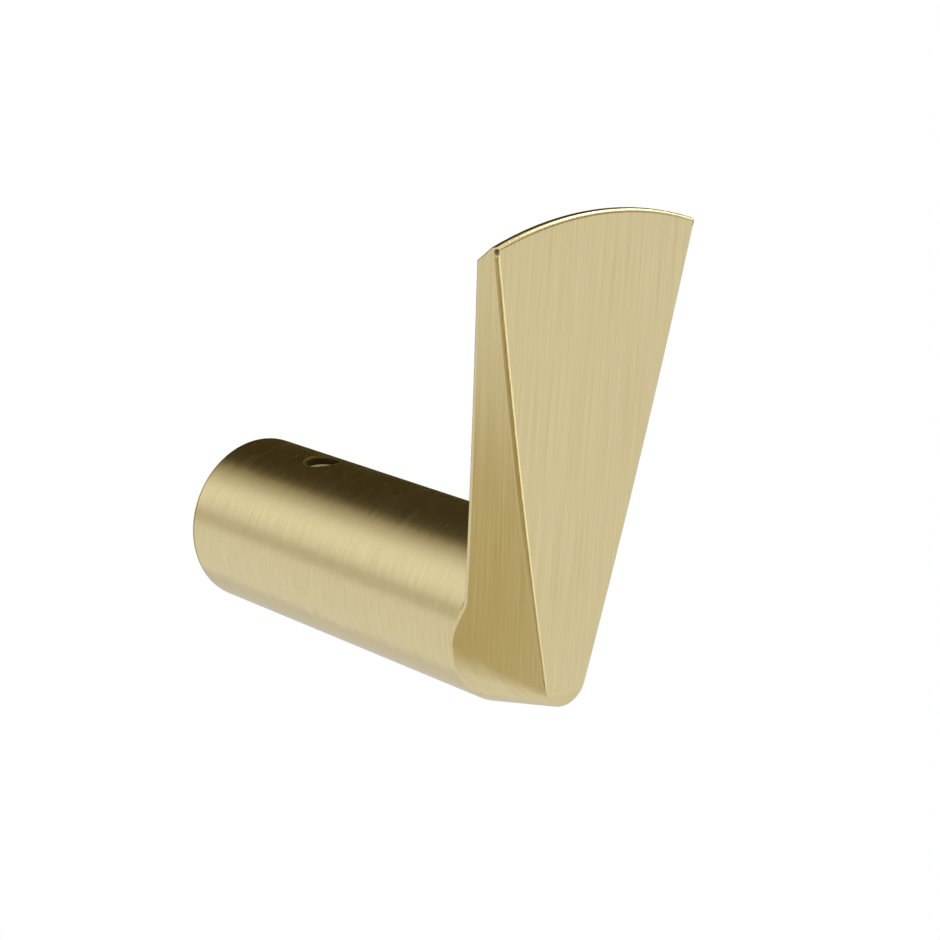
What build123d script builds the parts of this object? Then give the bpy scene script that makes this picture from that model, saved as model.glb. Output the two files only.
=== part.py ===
from build123d import *
from math import asin, cos, degrees, radians, sin, tan
import os

# Wall robe hook: a round post with a fan-shaped blade cast on its end, held on a wall spigot
# by a grub screw. Millimetres. The wall is the plane Y = 0, the post runs along -Y on the
# origin, the blade faces -Y and +Z is up.

# Post
post_diameter = 25.0
front_reach = 71.0          # wall to front face, on the post's axis
wall_rim_chamfer = 0.2

# Front face of the blade
front_lean = 5.0            # degrees, top forward
tip_radius = 3.5
tip_drop = 7.25             # centre of the tip's round below the post's axis
fan_half_angle = 13.9       # degrees from upright, at the tip
side_bow_radius = 1070.0    # the sides bulge this gently
crown_radius = 51.5
crown_height = 57.4         # top of the blade above the post's axis

# Back of the blade
root_thickness = 8.8        # along the post's axis
back_lean = 11.0            # degrees, top forward
root_fillet = 0.3           # inside corner between the blade's back and the post
crown_land = 1.3            # flat width along the top edge
crown_bevel_angle = 36.0    # degrees, behind the land

# Flare from the front face back to the post's round
flare_setback = 0.5         # from the end of the inside corner, along the post's axis
flare_lean = 7.0            # degrees, top forward
flare_half_angle = 8.0      # degrees from upright, where the sides leave the post
flare_overrun = 4.0         # the blank runs on this far past the post's surface

blade_edge_round = 0.5

# Socket in the wall end, and the spigot in it
socket_diameter = 16.0
socket_mouth_chamfer = 0.4
socket_clearance = 0.1      # radial
socket_end_gap = 2.0        # behind the spigot's nose
spigot_nose = 2.8           # from the groove to the spigot's end
spigot_lead_in = 0.8
wall_hole_diameter = 4.5
wall_hole_length = 8.0
head_recess_diameter = 9.0

# Grub screw, its cross hole and its groove
screw_setback = 16.4        # axis of the cross hole from the wall
screw_recess = 1.2          # top of the screw below the top of the post
grub_diameter = 5.0
grub_point_diameter = 3.5
grub_point_length = 0.8
grub_top_chamfer = 0.3
hex_across_flats = 2.5
hex_depth = 2.2
thread_clearance = 0.05     # radial
hole_rim_chamfer = 0.25
groove_depth = 1.6
groove_side_clearance = 0.3

# Blanks stand this far past the finished shape
stock_margin = 6.0
# Neighbouring faces that turn by more than this many degrees meet in a sharp edge
sharp_turn = 4.0
on_surface = 0.001

post_radius = post_diameter / 2
flare_depth = root_thickness + root_fillet + flare_setback
blank_depth = flare_depth + flare_overrun
spread = blank_depth / flare_depth
blank_lean = front_lean + spread * (flare_lean - front_lean)
blank_radius = tip_radius + spread * (post_radius - tip_radius)
blank_rise = (spread - 1) * tip_drop
blank_half_angle = fan_half_angle + spread * (flare_half_angle - fan_half_angle)
socket_radius = socket_diameter / 2
spigot_radius = socket_radius - socket_clearance
groove_floor_radius = spigot_radius - groove_depth
groove_half_width = grub_diameter / 2 + groove_side_clearance
spigot_length = screw_setback + groove_half_width + spigot_nose
socket_depth = spigot_length + socket_end_gap
grub_length = post_radius - screw_recess - groove_floor_radius
cross_hole_radius = grub_diameter / 2 + thread_clearance
crown_axis_height = crown_height - crown_radius
blank_top = crown_height + stock_margin
stock_size = 2 * (front_reach + crown_height)


def leaning_plane(y, lean):
    """Plane across the post's axis at y, facing -Y, its top tipped forward by lean degrees."""
    tilt = radians(lean)
    return Plane(origin=(0, y, 0), x_dir=(1, 0, 0), z_dir=(0, -cos(tilt), -sin(tilt)))


front_plane = leaning_plane(-front_reach, front_lean)
blank_plane = leaning_plane(-front_reach + blank_depth, blank_lean)
back_plane = leaning_plane(-front_reach + root_thickness, back_lean)


def along_post(radius, length, start=0):
    """Cylinder on the post's axis, from start to start + length away from the wall."""
    rod = Cylinder(radius, length, align=(Align.CENTER, Align.CENTER, Align.MIN))
    return Pos(0, -start, 0) * Rot(90, 0, 0) * Rot(0, 0, -90) * rod


def along_screw(radius, height, start=0):
    """Upright cylinder on the grub screw's axis, from start to start + height."""
    rod = Cylinder(radius, height, align=(Align.CENTER, Align.CENTER, Align.MIN))
    return Pos(0, -screw_setback, start) * rod


def front_outline():
    """Front face: a round tip, and two bowed sides that leave it on a tangent and spread up."""
    angle = radians(fan_half_angle)
    x = tip_radius * cos(angle)
    height = -tip_drop - tip_radius * sin(angle)
    turn = fan_half_angle - degrees(asin(sin(angle) - (blank_top - height) / side_bow_radius))
    tip = CenterArc((0, -tip_drop), tip_radius, 180 + fan_half_angle, 180 - 2 * fan_half_angle)
    right = JernArc((x, height), (sin(angle), cos(angle)), side_bow_radius, turn)
    left = JernArc((-x, height), (-sin(angle), cos(angle)), side_bow_radius, -turn)
    lid = Line(right @ 1, left @ 1)
    return front_plane * make_face([tip, right, lid, left])


def rear_outline():
    """Blank's section behind the flare: a round bottom, and straight sides tangent to it."""
    angle = radians(blank_half_angle)
    stretch = 1 / cos(radians(blank_lean))
    x = blank_radius * cos(angle)
    height = blank_rise - blank_radius * sin(angle)
    top_x = x + (blank_top - height) * tan(angle)
    bottom = EllipticalCenterArc(
        (0, blank_rise * stretch),
        blank_radius,
        blank_radius * stretch,
        180 + blank_half_angle,
        arc_size=180 - 2 * blank_half_angle,
    )
    right = Line((x, height * stretch), (top_x, blank_top * stretch))
    left = Line((-x, height * stretch), (-top_x, blank_top * stretch))
    lid = Line(right @ 1, left @ 1)
    return blank_plane * make_face([bottom, right, lid, left])


def crown_disc():
    """Disc that gives the blade its arched top edge: a land in front and a bevel behind it."""
    front = -front_reach - crown_height * tan(radians(front_lean))
    land_end = front + crown_land
    back = -front_reach + blank_depth + stock_margin
    bevel_drop = (back - land_end) * tan(radians(crown_bevel_angle))
    profile = Polyline(
        (front - stock_margin, crown_axis_height),
        (front - stock_margin, crown_height),
        (land_end, crown_height),
        (back, crown_height - bevel_drop),
        (back, crown_axis_height),
        close=True,
    )
    axis = Axis((0, 0, crown_axis_height), (0, 1, 0))
    return revolve(Plane.YZ * make_face(profile), axis)


def lies_on_plane(edge, plane):
    return all(abs(plane.to_local_coords(edge @ t).Z) < on_surface for t in (0, 0.5, 1))


def lies_on_post(edge):
    points = [edge @ t for t in (0, 0.5, 1)]
    return all(abs((p.X**2 + p.Z**2) ** 0.5 - post_radius) < on_surface for p in points)


def lies_on_cross_hole(edge):
    points = [edge @ t for t in (0, 0.5, 1)]
    reach = [(p.X**2 + (p.Y + screw_setback) ** 2) ** 0.5 for p in points]
    return all(abs(r - cross_hole_radius) < on_surface for r in reach)


def space_behind_blade():
    """Everything behind the blade and outside the post, rounded where the two meet."""
    behind = back_plane * Box(
        stock_size, stock_size, stock_size, align=(Align.CENTER, Align.CENTER, Align.MAX)
    )
    space = behind - along_post(post_radius, front_reach + stock_margin)
    corner = [e for e in space.edges() if lies_on_post(e) and lies_on_plane(e, back_plane)]
    return split(fillet(corner, root_fillet), bisect_by=Plane.XY, keep=Keep.TOP)


def sharp_edges(body):
    """Edges at which the two neighbouring faces turn by more than sharp_turn degrees."""
    neighbours = {}
    for face in body.faces():
        for edge in face.edges():
            neighbours.setdefault(edge, []).append(face)
    sharp = []
    for edge, faces in neighbours.items():
        if len(faces) == 2:
            first, second = [face.normal_at(edge @ 0.5) for face in faces]
            if first.get_angle(second) > sharp_turn:
                sharp.append(edge)
    return sharp


def blade_and_post():
    """Post and blade in one piece: twisted sides run back from the blade into the post's round."""
    blank = loft([front_outline(), rear_outline()], ruled=True) & crown_disc()
    post = along_post(post_radius, front_reach + stock_margin)
    blade = split(blank, bisect_by=Plane.XY, keep=Keep.TOP) - space_behind_blade()
    underside = split(blank, bisect_by=Plane.XY, keep=Keep.BOTTOM) & post
    body = split(post, bisect_by=blank_plane, keep=Keep.BOTTOM) + blade + underside
    corners = [e for e in sharp_edges(body) if not lies_on_plane(e, Plane.XZ)]
    return fillet(corners, blade_edge_round)


def hook_body():
    """The casting, with the socket and the grub screw's cross hole."""
    body = blade_and_post()
    wall_rim = [e for e in body.edges() if lies_on_plane(e, Plane.XZ)]
    body = chamfer(wall_rim, wall_rim_chamfer)
    body -= along_post(socket_radius, socket_depth)
    mouth = body.edges().filter_by(lambda e: lies_on_plane(e, Plane.XZ)).sort_by(Edge.length)[0]
    body = chamfer(mouth, socket_mouth_chamfer)
    body -= along_screw(cross_hole_radius, post_diameter)
    rim = [e for e in body.edges() if lies_on_post(e) and lies_on_cross_hole(e)]
    return chamfer(rim, hole_rim_chamfer)


def wall_spigot():
    """Turned stub on the wall: screw hole, recess for the screw's head, groove for the grub screw."""
    spigot = along_post(spigot_radius, spigot_length)
    nose = spigot.edges().filter_by(GeomType.CIRCLE).sort_by(Axis.Y)[0]
    spigot = chamfer(nose, spigot_lead_in)
    groove_start = screw_setback - groove_half_width
    ring = along_post(socket_radius, 2 * groove_half_width, groove_start)
    spigot -= ring - along_post(groove_floor_radius, 2 * groove_half_width, groove_start)
    spigot -= along_post(wall_hole_diameter / 2, spigot_length)
    return spigot - along_post(head_recess_diameter / 2, spigot_length, wall_hole_length)


def grub_screw():
    """Set screw with a flat point on the groove's floor and a hexagon socket in its top."""
    shank_start = groove_floor_radius + grub_point_length
    shank = along_screw(grub_diameter / 2, grub_length - grub_point_length, shank_start)
    top = shank.edges().filter_by(GeomType.CIRCLE).sort_by(Axis.Z)[-1]
    shank = chamfer(top, grub_top_chamfer)
    cone = Cone(
        grub_point_diameter / 2,
        grub_diameter / 2,
        grub_point_length,
        align=(Align.CENTER, Align.CENTER, Align.MIN),
    )
    screw = shank + Pos(0, -screw_setback, groove_floor_radius) * cone
    hexagon = RegularPolygon(hex_across_flats / 2, 6, major_radius=False)
    hex_floor = groove_floor_radius + grub_length - hex_depth
    return screw - Pos(0, -screw_setback, hex_floor) * extrude(hexagon, 2 * hex_depth)


if __name__ == "__main__":
    os.makedirs("parts", exist_ok=True)
    export_step(hook_body(), "parts/hook_body.step")
    export_step(wall_spigot(), "parts/wall_spigot.step")
    export_step(grub_screw(), "parts/grub_screw.step")
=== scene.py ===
import bpy
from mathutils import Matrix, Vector

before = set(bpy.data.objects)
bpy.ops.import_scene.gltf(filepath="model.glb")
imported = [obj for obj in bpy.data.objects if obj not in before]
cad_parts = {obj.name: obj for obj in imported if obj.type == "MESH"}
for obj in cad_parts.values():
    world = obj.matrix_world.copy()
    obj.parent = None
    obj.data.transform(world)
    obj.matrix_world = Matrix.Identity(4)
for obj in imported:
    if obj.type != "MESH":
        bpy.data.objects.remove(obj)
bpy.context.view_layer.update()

MM = 0.001
WHITE = (1.0, 1.0, 1.0, 1.0)

# Shape of the hook, in millimetres: a leaning face has its place on the post's axis and a slope,
# which is how far it comes forward for each millimetre up
POST_RADIUS = 12.5
FLARE_Y = -61.6
FLARE_SLOPE = 0.145
FRONT_Y = -71.0
FRONT_SLOPE = 0.0875
BACK_Y = -62.2
BACK_SLOPE = 0.194
# Seam between the blade's side and the round underside, which rises towards the wall
SEAM_Y = -61.35
SEAM_Z = -1.33
SEAM_SLOPE = 0.753
# Arc of the crown, and the blade's top corners just behind the front face
CROWN_RADIUS = 51.5
CROWN_Z = 5.9
CORNER_X = 17.0
CORNER_Z = 53.95
CORNER_SETBACK = 0.05
# Cross hole on top of the post
SCREW_Y = -16.4
HOLE_RIM = 2.8

# Soft borders, from where to where, in millimetres
FLARE_BORDER = (-0.2, 0.2)
POST_BORDER = (POST_RADIUS + 0.1, POST_RADIUS + 0.4)
SEAM_BORDER = (-0.6, 0.6)
FRONT_BORDER = (0.3, 0.7)
BACK_BORDER = (-0.6, -0.2)
# Painted shade round the post's end at the wall fades in over this span
WALL_RIM_SHADE_BORDER = (-0.65, -0.35)
# Painted shade in the cross hole: its rim's radius, then the depth where it ends
HOLE_BORDER = (HOLE_RIM, HOLE_RIM + 0.15)
HOLE_FLOOR_BORDER = (5.0, 6.0)

# Lines in the metal, in noise cells per millimetre across the lines and along them
FINE_RINGS = (4.0, 0.25)
BROAD_RINGS = (1.6, 0.05)
FINE_UPRIGHTS = (4.6, 0.05)
BROAD_UPRIGHTS = (1.2, 0.02)
TOOL_RINGS = (5.0, 0.02)
# Noise cells between the lines of the blade's front and those of its sides
FRONT_SHIFT = 9.0
FINE_RING_SHARE = 0.75
LINE_DETAIL = 2.0
FINE_RING_DETAIL = 1.0

# Brushed gold: what the fine and the broad lines add to its colour, roughness and height
GOLD_DARK = (0.572, 0.478, 0.252)
GOLD_LIGHT = (0.70, 0.605, 0.35)
FINE_SHADE = 0.85
BROAD_SHADE = 0.2
GOLD_ROUGHNESS = 0.25
FINE_ROUGHNESS = 0.05
BROAD_ROUGHNESS = 0.03
FINE_HEIGHT = 0.6
BROAD_HEIGHT = 0.4
POST_HEIGHT_LOSS = 0.5
GOLD_BUMP = 0.2
GOLD_BUMP_DEPTH = 0.03 * MM
# Painted shade: a dark brown line round the post's end at the wall, and how strongly it is laid on
WALL_RIM_PAINTED_SHADE = (0.2, 0.14, 0.03)
WALL_RIM_SHADE_SHARE = 0.7
# Painted shade: dark brown inside the cross hole, with a rougher finish there
HOLE_PAINTED_SHADE = (0.075, 0.056, 0.014)
HOLE_ROUGHNESS = 0.7

# Turned normals: about the post's axis for its rings, forward beside the blade's front edges, and
# outward, forward and up at its top corners, where the turned ones stand in for wider rounds
RING_SWAY = 0.06
EDGE_TURN = 0.65
EDGE_START = (0.2, 0.32)
EDGE_END = (0.38, 0.54)
EDGE_BELOW_CROWN = (0.2, 0.5)
EDGE_FADE_UP = (2.0, 35.0)
CORNER_OUTWARD = 1.95
CORNER_FORWARD = 2.16
CORNER_UP = 0.75
CORNER_BORDER = (0.2, 0.7)

# Turned brass of the spigot
BRASS_DARK = (0.46, 0.32, 0.12)
BRASS_LIGHT = (0.62, 0.46, 0.2)
BRASS_ROUGHNESS = 0.28
TOOL_ROUGHNESS = 0.05
BRASS_BUMP = 0.3
BRASS_BUMP_DEPTH = 0.05 * MM

# Oiled steel of the grub screw
STEEL_DARK = (0.3, 0.24, 0.1)
STEEL_LIGHT = (0.42, 0.34, 0.16)
STEEL_METALLIC = 0.3
STEEL_ROUGHNESS = 0.6
FLECK_ROUGHNESS = 0.06
FLECK_CELLS = 3.0
FLECK_DETAIL = 4.0

# Studio, in metres
AMBIENT_STRENGTH = 0.8
FLOOR_SIZE = 8.0
FLOOR_Z = -0.45
FLOOR_GREY = (0.86, 0.86, 0.86, 1.0)
FLOOR_ROUGHNESS = 0.9
CARD_ROUGHNESS = 0.95
REAR_Y = 1.2
RIGHT_X = 2.6
REAR_FOOT = -0.4
REAR_TOP = 2.4
LOW_Z = -0.3
ABOVE_LOW_Z = -0.299
BLADE_CENTRE = (0.0, -0.07, 0.03)
POST_CENTRE = (0.0, -0.03, 0.0)
DARK_BROWN = (0.055, 0.036, 0.0)
STRIP_BROWN = (0.5, 0.42, 0.26)
STRIP_CREAM = (0.85, 0.8, 0.7)
TAN = (0.87, 0.765, 0.492)
LIGHT_TAN = (1.0, 0.97, 0.9)
BROWN = (0.62, 0.5, 0.22)
CROWN_BROWN = (0.5, 0.4, 0.16)
PALE = (0.97, 0.95, 0.92)
CREAM = (0.92, 0.87, 0.8)

# Camera at the photograph's angle: place in metres, line of sight, lens and sensor in millimetres
CAMERA_PLACE = (-0.2175, -0.31005, 0.11084)
CAMERA_SIGHT = (0.6192, 0.7395, -0.2639)
CAMERA_LENS = 97.93
CAMERA_SENSOR = 36.0
CAMERA_CLIP_START = 0.01

# A Mix node has sockets for every type of data, and these are the ones for colours
MIX_FIRST_COLOUR = 6
MIX_SECOND_COLOUR = 7
MIX_COLOUR_RESULT = 2


class Signal:
    """A socket in a shader tree. Arithmetic on it adds Math nodes to that tree."""

    def __init__(self, tree, socket=None):
        self.tree = tree
        self.socket = socket

    def node(self, kind, inputs=None, out=0, **settings):
        """Adds a node: its settings first, then its inputs, each a value or a signal to link."""
        made = self.tree.nodes.new(kind)
        for key, value in settings.items():
            setattr(made, key, value)
        for key, value in (inputs or {}).items():
            if isinstance(value, Signal):
                self.tree.links.new(value.socket, made.inputs[key])
            else:
                made.inputs[key].default_value = value
        return Signal(self.tree, made.outputs[out])

    def math(self, operation, *values):
        return self.node("ShaderNodeMath", dict(enumerate(values)), operation=operation)

    def __add__(self, other):
        return self.math("ADD", self, other)

    def __radd__(self, other):
        return self.math("ADD", other, self)

    def __sub__(self, other):
        return self.math("SUBTRACT", self, other)

    def __rsub__(self, other):
        return self.math("SUBTRACT", other, self)

    def __mul__(self, other):
        return self.math("MULTIPLY", self, other)

    def __rmul__(self, other):
        return self.math("MULTIPLY", other, self)

    def __truediv__(self, other):
        return self.math("DIVIDE", self, other)

    def __rtruediv__(self, other):
        return self.math("DIVIDE", other, self)

    def __abs__(self):
        return self.math("ABSOLUTE", self)

    def root(self):
        return self.math("SQRT", self)

    def either(self, other):
        return self.math("MAXIMUM", self, other)

    def step(self, low, high):
        """0 below low, 1 above high, smooth between them."""
        return self.node(
            "ShaderNodeMapRange",
            {"Value": self, "From Min": low, "From Max": high},
            interpolation_type="SMOOTHSTEP",
        )

    def blend(self, first, second):
        """first where this is 0, second where it is 1."""
        return self.math("MULTIPLY_ADD", self, second - first, first)


def length(*parts):
    """Length of the vector with these parts."""
    total = parts[0] * parts[0]
    for part in parts[1:]:
        total = total + part * part
    return total.root()


def vector(x, y, z):
    return x.node("ShaderNodeCombineXYZ", {"X": x, "Y": y, "Z": z})


def grain(x, y, z, detail=LINE_DETAIL):
    """Noise at a point given in noise cells, from -1 to 1."""
    inputs = {"Vector": vector(x, y, z), "Scale": 1.0, "Detail": detail}
    return x.node("ShaderNodeTexNoise", inputs) * 2.0 - 1.0


def rings(x, along, z, cells, detail=LINE_DETAIL):
    """Lines that run round the post's axis, stacked in the direction of along."""
    across_lines, along_lines = cells
    return grain(x * along_lines, along * across_lines, z * along_lines, detail)


def uprights(across, on_front, z, cells):
    """Lines that run up the blade, side by side in the direction of across."""
    across_lines, along_lines = cells
    return grain(across * across_lines, on_front * FRONT_SHIFT, z * along_lines)


def tint(value, first, second):
    """Colour between first and second, each an RGB triple or a colour signal."""
    ends = [end if isinstance(end, Signal) else end + (1.0,) for end in (first, second)]
    return value.node(
        "ShaderNodeMix",
        {"Factor": value, MIX_FIRST_COLOUR: ends[0], MIX_SECOND_COLOUR: ends[1]},
        out=MIX_COLOUR_RESULT,
        data_type="RGBA",
    )


def new_material(name):
    """Material with a Principled shader, the shader, and object coordinates in millimetres."""
    material = bpy.data.materials.new(name)
    material.use_nodes = True
    tree = material.node_tree
    point = Signal(tree).node("ShaderNodeTexCoord", out="Object")
    axes = [point.node("ShaderNodeSeparateXYZ", {"Vector": point}, out=axis) / MM for axis in "XYZ"]
    return material, tree.nodes["Principled BSDF"], axes


def feed(shader, **signals):
    """Links each signal to the shader's socket of that name, with spaces for underscores."""
    for name, signal in signals.items():
        signal.tree.links.new(signal.socket, shader.inputs[name.replace("_", " ")])


def cross_hole(x, y, z):
    """1 in the cross hole and on its rim, 0 elsewhere; there the shade is painted in and the finish
    made rougher.
    """
    from_screw = length(x, y - SCREW_Y)
    return (1.0 - from_screw.step(*HOLE_BORDER)) * z.step(*HOLE_FLOOR_BORDER)


def front_edges(x, z, setback):
    """1 in a narrow band beside the blade's upright front edges, fading out towards the tip."""
    from_crown = CROWN_RADIUS - length(x, z - CROWN_Z)
    band = setback.step(*EDGE_START) * (1.0 - setback.step(*EDGE_END))
    return band * from_crown.step(*EDGE_BELOW_CROWN) * z.step(*EDGE_FADE_UP)


def top_corners(x, z, setback):
    """1 at the blade's two top corners, 0 elsewhere."""
    from_corner = length(abs(x) - CORNER_X, z - CORNER_Z, setback - CORNER_SETBACK)
    return 1.0 - from_corner.step(*CORNER_BORDER)


def brushed_gold():
    """Brushed gold plating: rings on the post and the underside, upright lines on the blade, with
    painted shade at the post's wall end and in the cross hole.
    """
    material, shader, (x, y, z) = new_material("brushed_gold")
    radius = length(x, z)
    setback = y - FRONT_Y + z * FRONT_SLOPE
    behind_flare = (y - FLARE_Y + z * FLARE_SLOPE).step(*FLARE_BORDER)
    on_post = behind_flare * (1.0 - radius.step(*POST_BORDER))
    below_seam = ((y - SEAM_Y) * SEAM_SLOPE + SEAM_Z - z).step(*SEAM_BORDER)
    ringed = on_post.either(below_seam)
    on_front = 1.0 - setback.step(*FRONT_BORDER)
    on_back = (y - BACK_Y + z * BACK_SLOPE).step(*BACK_BORDER)
    in_hole = cross_hole(x, y, z)

    along = y + radius
    across = on_front.either(on_back).blend(y + z * BACK_SLOPE, x)
    fine_rings = rings(x, along, z, FINE_RINGS, FINE_RING_DETAIL)
    broad_rings = rings(x, along, z, BROAD_RINGS)
    fine_uprights = uprights(across, on_front, z, FINE_UPRIGHTS)
    broad_uprights = uprights(across, on_front, z, BROAD_UPRIGHTS)
    fine = ringed.blend(fine_uprights, fine_rings * FINE_RING_SHARE)
    broad = ringed.blend(broad_uprights, broad_rings)

    plating = tint(fine * FINE_SHADE + broad * BROAD_SHADE + 0.5, GOLD_DARK, GOLD_LIGHT)
    # Painted shade: a darker brown line round the post's end at the wall
    rim_shaded = tint(y.step(*WALL_RIM_SHADE_BORDER) * WALL_RIM_SHADE_SHARE, plating, WALL_RIM_PAINTED_SHADE)
    # Painted shade: dark brown inside the cross hole
    colour = tint(in_hole, rim_shaded, HOLE_PAINTED_SHADE)
    brushed_roughness = fine * FINE_ROUGHNESS + broad * BROAD_ROUGHNESS + GOLD_ROUGHNESS
    rough = in_hole.blend(brushed_roughness, HOLE_ROUGHNESS)

    height = (fine * FINE_HEIGHT + broad * BROAD_HEIGHT) * (1.0 - on_post * POST_HEIGHT_LOSS)
    bump = height.node(
        "ShaderNodeBump",
        {"Height": height, "Strength": GOLD_BUMP, "Distance": GOLD_BUMP_DEPTH},
    )
    sway = on_post * fine_rings * RING_SWAY / radius
    edges = front_edges(x, z, setback)
    corners = top_corners(x, z, setback)
    turn = vector(
        z * sway + corners * x * (CORNER_OUTWARD / CORNER_X),
        edges * -EDGE_TURN - corners * CORNER_FORWARD,
        corners * CORNER_UP - x * sway,
    )
    turned = bump.node("ShaderNodeVectorMath", {0: bump, 1: turn}, operation="ADD")
    normal = turned.node("ShaderNodeVectorMath", {0: turned}, operation="NORMALIZE")
    shader.inputs["Metallic"].default_value = 1.0
    feed(shader, Base_Color=colour, Roughness=rough, Normal=normal)
    return material


def turned_brass():
    """Plain turned brass of the hidden spigot, with the tool's fine rings."""
    material, shader, (x, y, z) = new_material("turned_brass")
    ring = rings(x, y + length(x, z), z, TOOL_RINGS)
    colour = tint(ring * 0.5 + 0.5, BRASS_DARK, BRASS_LIGHT)
    rough = ring * TOOL_ROUGHNESS + BRASS_ROUGHNESS
    bump = ring.node(
        "ShaderNodeBump",
        {"Height": ring, "Strength": BRASS_BUMP, "Distance": BRASS_BUMP_DEPTH},
    )
    shader.inputs["Metallic"].default_value = 1.0
    feed(shader, Base_Color=colour, Roughness=rough, Normal=bump)
    return material


def oiled_steel():
    """Browned, oiled steel of the grub screw."""
    material, shader, (x, y, z) = new_material("oiled_steel")
    fleck = grain(x * FLECK_CELLS, y * FLECK_CELLS, z * FLECK_CELLS, FLECK_DETAIL)
    colour = tint(fleck * 0.5 + 0.5, STEEL_DARK, STEEL_LIGHT)
    shader.inputs["Metallic"].default_value = STEEL_METALLIC
    feed(shader, Base_Color=colour, Roughness=fleck * FLECK_ROUGHNESS + STEEL_ROUGHNESS)
    return material


def dress(node, material):
    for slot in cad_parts[node].material_slots:
        slot.material = material


def seen_directly(tree):
    """1 for rays from the camera and for mirrored and refracted ones, 0 for other light."""
    kinds = ("Is Camera Ray", "Is Glossy Ray", "Is Transmission Ray")
    start = Signal(tree)
    camera, mirrored, refracted = [start.node("ShaderNodeLightPath", out=kind) for kind in kinds]
    return camera.either(mirrored).either(refracted)


def white_floor():
    """Pale floor that shows as white to the camera and in the metal."""
    material = bpy.data.materials.new("white_floor")
    material.use_nodes = True
    tree = material.node_tree
    shader = tree.nodes["Principled BSDF"]
    shader.inputs["Base Color"].default_value = FLOOR_GREY
    shader.inputs["Roughness"].default_value = FLOOR_ROUGHNESS
    matt = Signal(tree, shader.outputs["BSDF"])
    glow = matt.node("ShaderNodeEmission", {"Color": WHITE})
    surface = matt.node("ShaderNodeMixShader", {0: seen_directly(tree), 1: matt, 2: glow})
    tree.links.new(surface.socket, tree.nodes["Material Output"].inputs["Surface"])
    return material


def white_room():
    """World that lights softly and shows as white to the camera and in the metal."""
    world = bpy.data.worlds.new("white_room")
    bpy.context.scene.world = world
    world.use_nodes = True
    tree = world.node_tree
    background = tree.nodes["Background"]
    background.inputs["Color"].default_value = WHITE
    background.inputs["Strength"].default_value = AMBIENT_STRENGTH
    ambient = Signal(tree, background.outputs["Background"])
    white = ambient.node("ShaderNodeBackground", {"Color": WHITE, "Strength": 1.0})
    surface = ambient.node("ShaderNodeMixShader", {0: seen_directly(tree), 1: ambient, 2: white})
    tree.links.new(surface.socket, tree.nodes["World Output"].inputs["Surface"])


def card_paper(name, colour):
    """Matt paper without any gloss."""
    material = bpy.data.materials.new(name)
    material.use_nodes = True
    shader = material.node_tree.nodes["Principled BSDF"]
    shader.inputs["Base Color"].default_value = colour + (1.0,)
    shader.inputs["Roughness"].default_value = CARD_ROUGHNESS
    shader.inputs["Specular IOR Level"].default_value = 0.0
    return material


def card(name, corners, colour):
    """Flat studio card through four corners, hidden from the camera."""
    mesh = bpy.data.meshes.new(name)
    mesh.from_pydata(corners, [], [(0, 1, 2, 3)])
    mesh.materials.append(card_paper(name, colour))
    made = bpy.data.objects.new(name, mesh)
    bpy.context.collection.objects.link(made)
    made.visible_camera = False


def standing_card(name, start, end, foot, top, colour):
    """Upright card over the line from start to end, two points seen from above."""
    corners = [(*start, foot), (*end, foot), (*end, top), (*start, top)]
    card(name, corners, colour)


def lying_card(name, outline, level, colour):
    """Level card with this outline, four points seen from above."""
    card(name, [(*point, level) for point in outline], colour)


def softbox(name, centre, size, aim, power):
    """Rectangular lamp at centre that faces aim, its power in watts."""
    lamp = bpy.data.lights.new(name, "AREA")
    lamp.shape = "RECTANGLE"
    lamp.size, lamp.size_y = size
    lamp.energy = power
    made = bpy.data.objects.new(name, lamp)
    made.location = centre
    made.rotation_euler = (Vector(aim) - Vector(centre)).to_track_quat("-Z", "Y").to_euler()
    bpy.context.collection.objects.link(made)


def rear_cards():
    """Cards behind: the dark band on the post's top, its soft border, and the middle band."""
    dark_left = (-0.1, REAR_Y)
    dark_corner = (RIGHT_X, REAR_Y)
    right_end = (RIGHT_X, 0.2)
    strip_left = (-0.3, REAR_Y)
    border_left = (-0.5, REAR_Y)
    standing_card("rear_card", dark_left, dark_corner, REAR_FOOT, REAR_TOP, DARK_BROWN)
    standing_card("right_card", dark_corner, right_end, REAR_FOOT, REAR_TOP, DARK_BROWN)
    standing_card("rear_strip", strip_left, dark_left, foot=-0.1, top=REAR_TOP, colour=STRIP_BROWN)
    standing_card("rear_border", border_left, strip_left, foot=0.5, top=REAR_TOP, colour=STRIP_CREAM)
    standing_card(
        "left_rear_card", start=(-1.5, 0.9), end=(-0.75, 1.3), foot=-0.12, top=0.2, colour=CREAM
    )


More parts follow.
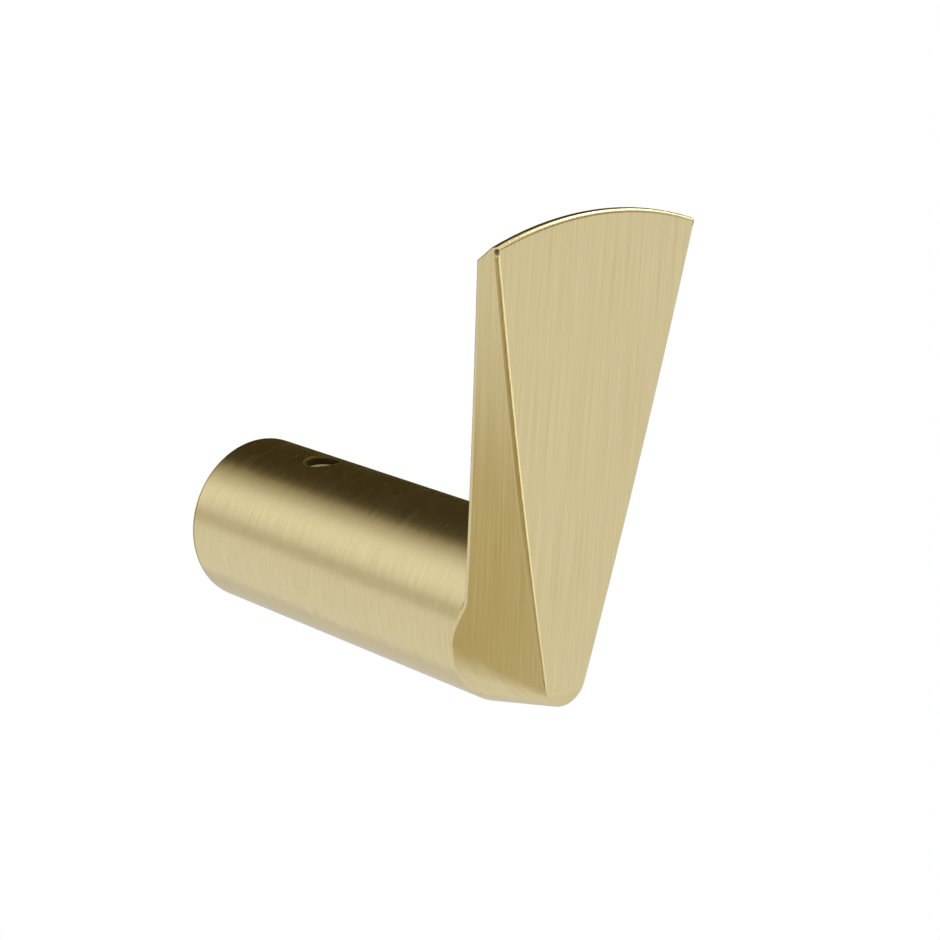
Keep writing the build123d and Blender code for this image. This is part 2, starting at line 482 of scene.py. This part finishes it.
def low_cards():
    """Cards below: the blade's darker side, its edge's dark band, and the post's lower edge."""
    border_rear = (-0.3, -0.08)
    border_front = (-0.17, -0.3)
    left_card = [(-0.9, -0.08), (-0.9, -0.3), border_front, border_rear]
    left_border = [border_rear, border_front, (-0.1, -0.3), (-0.17, -0.04)]
    front_card = [(-0.8, -0.27), (-0.6, -0.75), (-0.03, -0.6), (-0.12, -0.27)]
    low_card = [(-0.04, 0.1), (0.7, 0.1), (0.7, 0.8), (-0.04, 0.8)]
    lying_card("left_card", left_card, LOW_Z, TAN)
    lying_card("left_border", left_border, LOW_Z, LIGHT_TAN)
    lying_card("front_card", front_card, ABOVE_LOW_Z, BROWN)
    lying_card("low_card", low_card, LOW_Z, PALE)


def front_cards():
    """Cards in front: the dark spot on a top corner, and the line under the crown's light."""
    standing_card(
        "camera_card", start=(-0.85, -0.45), end=(-0.3, -0.92), foot=0.05, top=0.58, colour=DARK_BROWN
    )
    standing_card(
        "crown_card", start=(0.4, -0.95), end=(0.85, -0.7), foot=0.05, top=0.4, colour=CROWN_BROWN
    )


def lamps():
    """Soft lamps: the post's light band, the crown's bright line and the blade's front edge."""
    softbox("left_window", centre=(-0.6, 0.7, 0.45), size=(0.5, 0.35), aim=POST_CENTRE, power=0.085)
    softbox("crown_light", centre=(0.6, -0.2, 0.75), size=(0.5, 0.5), aim=BLADE_CENTRE, power=4.0)
    softbox("crown_end_light", centre=(0.85, -0.15, 0.5), size=(0.25, 0.3), aim=BLADE_CENTRE, power=0.6)
    softbox("edge_light", centre=(0.12, -0.58, -0.24), size=(0.24, 0.2), aim=BLADE_CENTRE, power=0.11)


def studio():
    """White room and floor. The bands on the metal are its reflections of the cards and lamps."""
    white_room()
    bpy.ops.mesh.primitive_plane_add(size=FLOOR_SIZE, location=(0.0, 0.0, FLOOR_Z))
    floor = bpy.context.object
    floor.name = "floor"
    floor.data.materials.append(white_floor())
    rear_cards()
    low_cards()
    front_cards()
    lamps()


def camera():
    data = bpy.data.cameras.new("camera")
    data.sensor_width = CAMERA_SENSOR
    data.lens = CAMERA_LENS
    data.clip_start = CAMERA_CLIP_START
    made = bpy.data.objects.new("camera", data)
    made.location = CAMERA_PLACE
    made.rotation_euler = Vector(CAMERA_SIGHT).to_track_quat("-Z", "Y").to_euler()
    bpy.context.collection.objects.link(made)
    bpy.context.scene.camera = made


dress("hook_body", brushed_gold())
dress("wall_spigot", turned_brass())
dress("grub_screw", oiled_steel())
studio()
camera()
bpy.context.scene.view_settings.view_transform = "Standard"
